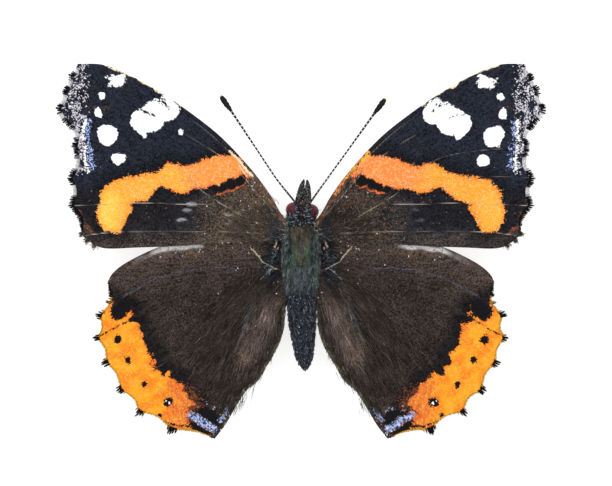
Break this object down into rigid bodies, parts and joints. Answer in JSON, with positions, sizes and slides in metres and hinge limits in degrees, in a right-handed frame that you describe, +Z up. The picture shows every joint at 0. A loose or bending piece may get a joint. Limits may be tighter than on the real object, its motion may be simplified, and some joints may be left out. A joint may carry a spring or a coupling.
{
  "type": "red admiral butterfly",
  "caption": "Life-size red admiral butterfly standing with its dark, orange-banded, white-spotted wings spread flat.",
  "frame": {"origin": "on the floor, under the middle of the wings' outline", "axes": "+X to the animal's right, across the wings; +Y towards the head; +Z up"},
  "size_m": [0.0602, 0.046, 0.009],
  "materials": {
    "forewing": "matt overlapping scales, blue-black with an orange band and white spots",
    "hindwing": "matt overlapping scales, dark brown with an orange margin",
    "body": "short olive-brown hair",
    "abdomen": "blue-black scales and short hair",
    "eye": "dark red-brown, faceted, softly glossy",
    "feeler": "black with fine white rings",
    "palp": "grey-brown scales",
    "leg": "brown, satin",
    "proboscis": "dark amber, satin"
  },
  "bodies": {
    "root": {"head": "body", "thorax": "body", "abdomen": "abdomen", "eye_left": "eye", "eye_right": "eye", "palp_left": "palp", "palp_right": "palp", "antenna_left": "feeler", "antenna_right": "feeler", "proboscis": "proboscis", "forewing_left": "forewing", "forewing_right": "forewing", "hindwing_left": "hindwing", "hindwing_right": "hindwing", "foreleg_left": "leg", "foreleg_right": "leg", "midleg_left": "leg", "midleg_right": "leg", "hindleg_left": "leg", "hindleg_right": "leg"}
  },
  "joints": []
}
